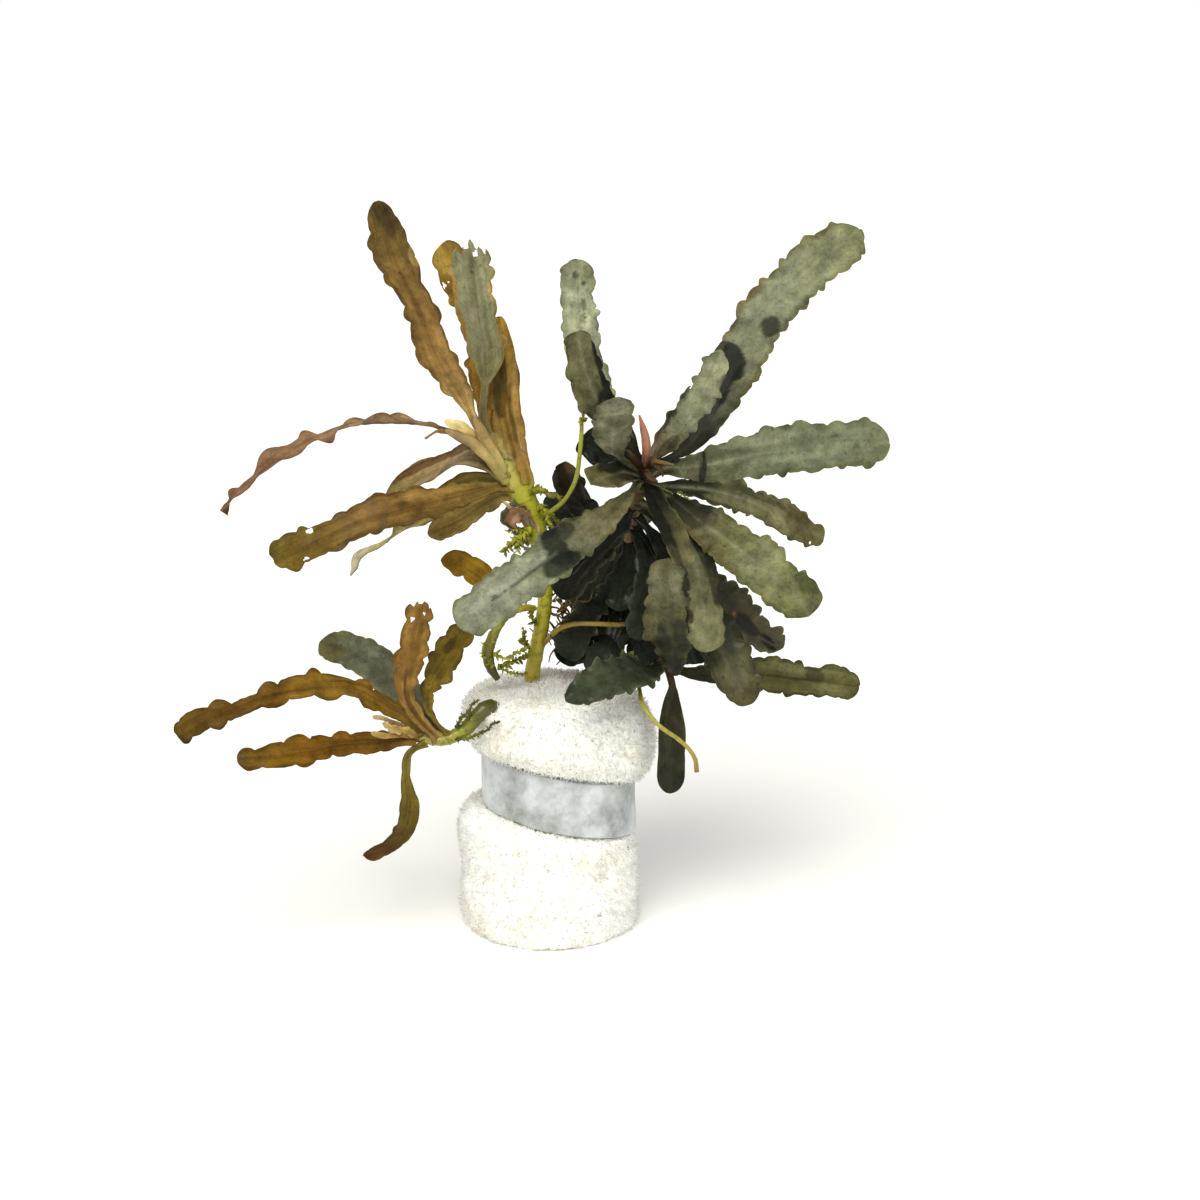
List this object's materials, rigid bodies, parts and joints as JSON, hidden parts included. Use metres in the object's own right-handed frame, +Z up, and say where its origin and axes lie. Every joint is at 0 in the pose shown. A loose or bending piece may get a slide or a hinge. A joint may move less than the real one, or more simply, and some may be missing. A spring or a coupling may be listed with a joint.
{
  "type": "bucephalandra",
  "caption": "Bunch of an aquarium plant, strap leaves with wavy margins on creeping stems, held in a white sponge plug clasped by a grey lead strip.",
  "frame": {"origin": "centre of the sponge plug's flat underside, on which the bunch stands", "axes": "+Z up out of the plug towards the leaves, -Y towards the front that the picture shows, +X to that front's right"},
  "size_m": [0.0838, 0.0387, 0.0918],
  "materials": {
    "sponge": "matte, open-cell foam",
    "lead": "dull grey with paler blotches",
    "leaf_green": "grey-green leaf, satin",
    "leaf_grey": "pale grey-green leaf, satin",
    "leaf_dark": "blackish green leaf, wet gloss",
    "leaf_olive": "olive-brown leaf, wet gloss",
    "leaf_brown": "ochre-brown translucent leaf, wet gloss",
    "leaf_young": "pinkish-red young leaf",
    "stem_green": "yellow-green fleshy stem, wet gloss",
    "stem_amber": "amber-brown stem, wet gloss",
    "root_green": "yellow-green root",
    "root_amber": "amber root"
  },
  "bodies": {
    "root": {"brown_leaf_arching": "leaf_brown", "brown_leaf_back": "leaf_brown", "brown_leaf_behind": "leaf_brown", "brown_leaf_broad": "leaf_brown", "brown_leaf_folded": "leaf_brown", "brown_leaf_frayed": "leaf_grey", "brown_leaf_low": "leaf_brown", "brown_leaf_right": "leaf_brown", "brown_leaf_short": "leaf_brown", "brown_leaf_tall": "leaf_brown", "brown_leaf_twisted": "leaf_brown", "crown_leaf_dark_crumpled": "leaf_dark", "crown_leaf_dark_left": "leaf_dark", "crown_leaf_dark_low_right": "leaf_dark", "crown_leaf_edge_on": "leaf_green", "crown_leaf_front_hanging": "leaf_green", "crown_leaf_front_left": "leaf_green", "crown_leaf_front_short": "leaf_green", "crown_leaf_lower_right": "leaf_green", "crown_leaf_olive_left": "leaf_green", "crown_leaf_over_upper_right": "leaf_green", "crown_leaf_right": "leaf_green", "crown_leaf_right_low": "leaf_green", "crown_leaf_short_broad": "leaf_green", "crown_leaf_up_behind": "leaf_green", "crown_leaf_up_front": "leaf_green", "crown_leaf_upper_right": "leaf_green", "dark_leaf_back": "leaf_green", "dark_leaf_back_left": "leaf_dark", "dark_leaf_back_right": "leaf_green", "dark_leaf_inner_left": "leaf_dark", "dark_leaf_inner_right": "leaf_dark", "dark_leaf_left": "leaf_dark", "dark_leaf_low_left": "leaf_dark", "dark_leaf_low_middle": "leaf_dark", "dark_leaf_middle": "leaf_dark", "dark_leaf_under_front": "leaf_dark", "dark_leaf_upper_left": "leaf_dark", "lead_strip": "lead", "low_leaf_back": "leaf_dark", "low_leaf_down": "leaf_dark", "low_leaf_front_left": "leaf_dark", "low_leaf_right": "leaf_olive", "low_leaf_up_front": "leaf_green", "root_bridge": "root_amber", "root_hook": "stem_green", "root_trailing": "root_green", "runner": "root_green", "side_leaf_dark": "leaf_dark", "side_leaf_hanging": "leaf_olive", "side_leaf_long": "leaf_brown", "side_leaf_low": "leaf_brown", "side_leaf_right": "leaf_olive", "side_leaf_upright": "leaf_brown", "sponge_plug": "sponge", "stem_brown_shoot": "stem_green", "stem_crown": "stem_amber", "stem_low_crown": "stem_amber", "stem_side_shoot": "stem_green", "young_leaf_rolled": "leaf_young"}
  },
  "joints": []
}
